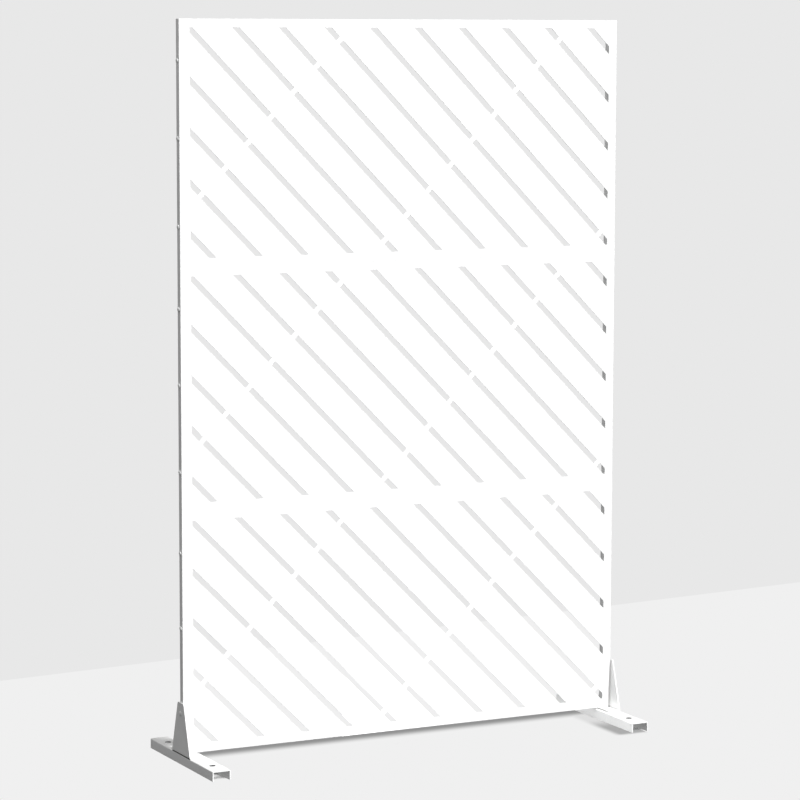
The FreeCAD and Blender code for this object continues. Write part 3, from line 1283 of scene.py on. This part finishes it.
@dataclass(frozen=True)
class FloorShade:
    """Where shade lies on the floor. Each span is where a change begins and where it ends."""

    slant: float = 0.5
    sides: Span = (0.57, 0.6)
    starts: Span = (0.02, 0.085)
    ends: Span = (0.115, 0.18)
    before_foot: Span = (0.057, 0.028)
    foot_depth: float = 0.78
    foot_front: Span = (-0.215, -0.19)
    foot_back: Span = (-0.12, -0.02)
    back_depth: float = 0.3
    under_foot: float = 0.04
    contact_reach: float = 0.12
    contact: Span = (0.02, 0.12)
    contact_samples: int = 32

    def cast(self, bench: NodeBench, axes: NodeOutputs) -> Socket:
        """Marks the shade behind the screen and the one beside the right foot.

        Args:
            bench: The floor material's bench.
            axes: The floor's X and Y.

        Returns:
            The mask's socket.
        """
        across, behind = axes["X"], axes["Y"]
        follow = bench.maths("SUBTRACT", across, bench.times(behind, self.slant))
        sides = bench.ramp(bench.maths("ABSOLUTE", follow), *self.sides, 1.0, 0.0)
        ends = bench.ramp(behind, *self.ends, 1.0, 0.0)
        under = bench.times(bench.ramp(behind, *self.starts), ends, sides)
        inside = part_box("foot_channel_right")[0].x
        far, close = self.before_foot
        beside = bench.ramp(across, inside - far, inside - close, 0.0, self.foot_depth)
        front = bench.ramp(behind, *self.foot_front)
        back = bench.ramp(behind, *self.foot_back, 1.0, self.back_depth)
        near = bench.maths("LESS_THAN", across, inside + self.under_foot)
        return bench.maths("MAXIMUM", under, bench.times(beside, front, back, ends, near))

    def touch(self, bench: NodeBench) -> Socket:
        """Marks the painted contact shade, darkest close under the screen.

        Args:
            bench: The floor material's bench.

        Returns:
            The mask's socket.
        """
        close = bench.add("AmbientOcclusion", samples=self.contact_samples)
        close.inputs["Distance"].default_value = self.contact_reach
        return bench.ramp(close.outputs["AO"], *self.contact, 1.0, 0.0)


@dataclass(frozen=True)
class Studio:
    """A pale floor and wall, an even dome of light, one soft key and three weak cards."""

    floor_tone: Colour = (0.871, 0.871, 0.871)
    wall_tone: Colour = (0.807, 0.807, 0.807)
    # The two tones of the painted shade on the floor: broad behind the screen, and in contact close
    # under it.
    shade_tone: Colour = (0.29, 0.29, 0.29)
    hollow_tone: Colour = (0.05, 0.05, 0.05)
    floor_return: Colour = (0.06, 0.06, 0.06)
    hollow_return: Colour = (0.32, 0.32, 0.32)
    dome_light: float = 0.55
    key_power: float = 3.9
    key_azimuth: float = 12.0
    key_elevation: float = 38.0
    key_spread: float = 8.0
    fills: tuple[Card, ...] = (
        Card("fill_strip", 0.029, (0.42, 0.014), (0.3, 0.0, 0.011), (0.565, 0.0, 0.011), 16.0),
        Card("fill_card", 0.45, (0.3, 0.16), (-0.15, -0.16, 0.1), (0.61, -0.03, 0.07)),
        Card("back_card", 9.0, (1.6, 1.2), (-0.6, 2.6, 2.2), (0.0, 0.0, 0.9)),
    )
    shade: FloorShade = FloorShade()
    wall_behind: float = 1.205
    wall_turn: float = 6.1
    wall_height: float = 12.0
    reach: float = 45.0

    def build(self) -> None:
        """Builds the whole studio."""
        self._view()
        self._dome()
        self._key()
        for card in self.fills:
            card.build()
        self._floor()
        self._wall()

    def _view(self) -> None:
        """Sets plain colour handling."""
        settings = bpy.context.scene.view_settings
        settings.view_transform = "Standard"
        settings.look = "None"
        settings.exposure, settings.gamma = 0.0, 1.0

    def _dome(self) -> None:
        """Lights the scene evenly from all round and shows the wall's tone beyond the floor."""
        world = bpy.data.worlds.new("studio_dome")
        world.use_nodes = True
        world.node_tree.nodes.clear()
        bench = NodeBench(world.node_tree)
        light, seen = bench.add("Background"), bench.add("Background")
        light.inputs["Strength"].default_value = self.dome_light
        bench.feed(light.inputs["Color"], (1.0, 1.0, 1.0))
        bench.feed(seen.inputs["Color"], self.wall_tone)
        camera = bench.add("LightPath").outputs["Is Camera Ray"]
        bench.end("OutputWorld", camera, light, seen)
        bpy.context.scene.world = world

    def _key(self) -> None:
        """Adds the soft key light, high on the front right."""
        towards = direction(self.key_azimuth, self.key_elevation)
        key = hang_light("key_light", "SUN", self.key_power, towards)
        key.data.angle = math.radians(self.key_spread)

    def _sheet(self, name: str, corners: list[Point], paint: Material) -> Object:
        """Makes one flat stage piece.

        Args:
            name: The piece's name.
            corners: Its four corners.
            paint: Its material.

        Returns:
            The piece.
        """
        shape = bmesh.new()
        shape.faces.new([shape.verts.new(corner) for corner in corners])
        piece = link_mesh(name, shape)
        piece.data.materials.append(paint)
        return piece

    def _floor(self) -> None:
        """Lays the floor, with its shade behind the screen and close under the feet."""
        paint, bench = blank_material("studio_floor_paint")
        axes = bench.split(bench.add("TexCoord").outputs["Object"])
        tone = bench.blend(self.shade.cast(bench, axes), self.floor_tone, self.shade_tone)
        tone = bench.blend(self.shade.touch(bench), tone, self.hollow_tone)
        sent = bench.glow(self._returned(bench, axes))
        camera = bench.add("LightPath").outputs["Is Camera Ray"]
        bench.end("OutputMaterial", camera, sent, bench.glow(tone))
        far = self.reach
        self._sheet("studio_floor", [(-far, -far, 0), (far, -far, 0), (far, far, 0),
                                     (-far, far, 0)], paint)

    def _returned(self, bench: NodeBench, axes: NodeOutputs) -> Socket:
        """Gives the light that the floor sends back, which is stronger inside the channels.

        Args:
            bench: The floor material's bench.
            axes: The floor's X and Y.

        Returns:
            The colour of the light.
        """
        low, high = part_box("foot_channel_right")
        middle, half = (low.x + high.x) / 2, (high.x - low.x) / 2
        off = bench.off(bench.maths("ABSOLUTE", axes["X"]), middle)
        within = bench.maths("LESS_THAN", off, half)
        along = bench.maths("LESS_THAN", bench.maths("ABSOLUTE", axes["Y"]), high.y)
        return bench.blend(bench.times(within, along), self.floor_return, self.hollow_return)

    def _wall(self) -> None:
        """Stands the wall behind the screen, seen only from its front."""
        turn = math.radians(self.wall_turn)
        along = Vector((math.cos(turn), math.sin(turn), 0)) * self.reach
        foot = Vector((0, self.wall_behind, 0))
        rise = Vector((0, 0, self.wall_height))
        paint, bench = blank_material("studio_wall_paint")
        back = bench.add("NewGeometry").outputs["Backfacing"]
        bench.end("OutputMaterial", back, bench.glow(self.wall_tone), bench.add("BsdfTransparent"))
        wall = self._sheet("studio_wall", [foot - along, foot + along, foot + along + rise,
                                           foot - along + rise], paint)
        wall.visible_diffuse = wall.visible_glossy = wall.visible_shadow = False
        wall.visible_transmission = False


def main() -> None:
    """Builds the screen and its studio."""
    logging.basicConfig(level=logging.INFO, format="%(name)s: %(message)s")
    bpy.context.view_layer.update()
    Viewpoint().build()
    Studio().build()
    rack = FinishRack(EffectShelf())
    for part in (TrayStack, SidePosts, SideBolts, SeamFastenings, Feet):
        part(rack).build()
        LOG.info("finished %s", part.__name__)


if __name__ == "__main__":
    main()
